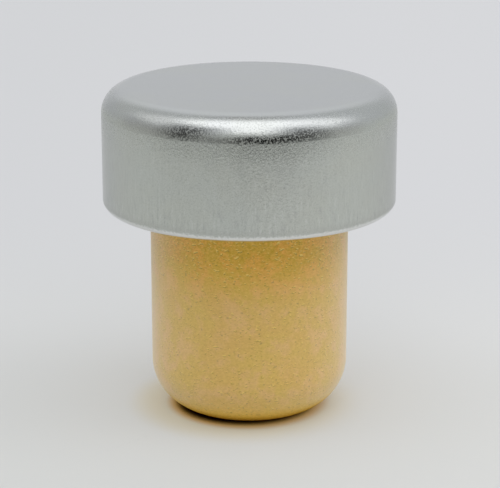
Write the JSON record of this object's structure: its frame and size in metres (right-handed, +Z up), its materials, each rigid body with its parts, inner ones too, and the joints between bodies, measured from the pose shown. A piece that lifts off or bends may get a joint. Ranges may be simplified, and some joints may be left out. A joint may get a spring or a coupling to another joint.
{
  "type": "bar-top cork",
  "caption": "Bottle stopper: a round-nosed cork shank glued under a broad round cap, which is a satin metal shell rolled in round a ribbed plastic insert.",
  "frame": {"origin": "middle of the cork's flat lower end, on the surface that the stopper stands on", "axes": "+Z up the stopper's axis, from the cork to the cap; X and Y are alike"},
  "size_m": [0.0295, 0.0294, 0.0333],
  "materials": {
    "shell_metal": "satin anodised silver, with fine upright drawing lines on the side",
    "insert_plastic": "moulded natural polypropylene, fine matt",
    "cork": "smooth fine-grained cork with small light and dark flecks"
  },
  "bodies": {
    "root": {"cap_shell": "shell_metal", "cap_insert": "insert_plastic", "cork": "cork"}
  },
  "joints": []
}
